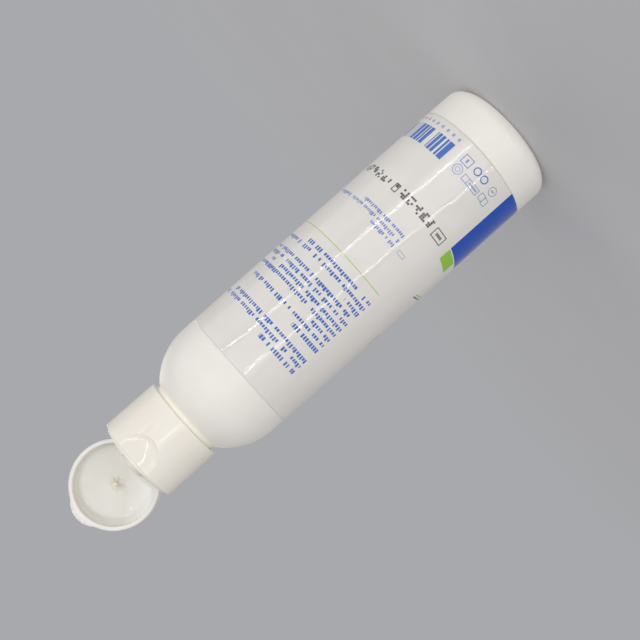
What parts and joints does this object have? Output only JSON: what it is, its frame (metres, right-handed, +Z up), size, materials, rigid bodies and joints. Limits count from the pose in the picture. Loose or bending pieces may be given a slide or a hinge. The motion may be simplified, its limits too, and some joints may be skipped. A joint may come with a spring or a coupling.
{
  "type": "burn gel squeeze bottle",
  "caption": "Round white squeeze bottle with a domed shoulder, wrapped label and a screwed flip-top cap whose hinged lid carries a pin that closes the spout.",
  "frame": {"origin": "middle of the base, on the surface that the bottle stands on", "axes": "+Z up along the bottle's axis, -Y to the front with the thumb recess, +Y to the back with the lid's hinge, +X to the right seen from the front"},
  "size_m": [0.039, 0.039, 0.1678],
  "materials": {
    "bottle": "satin white polyethylene",
    "label": "glossy white film",
    "gel": "clear pale green-yellow gel",
    "cap": "glossy white polypropylene"
  },
  "bodies": {
    "bottle": {"bottle": "bottle", "label": "label", "gel": "gel"},
    "cap": {"cap_base": "cap"},
    "lid": {"cap_lid": "cap"}
  },
  "joints": [
    {"name": "cap_turn", "type": "hinge", "parent": "bottle", "child": "cap", "pos_m": [0, 0, 0.1327], "axis": [0, 0, 1], "range_deg": [0, 450]},
    {"name": "lid_hinge", "type": "hinge", "parent": "cap", "child": "lid", "pos_m": [0, 0.011, 0.14215], "axis": [-1, 0, 0], "range_deg": [-90, 90]}
  ]
}
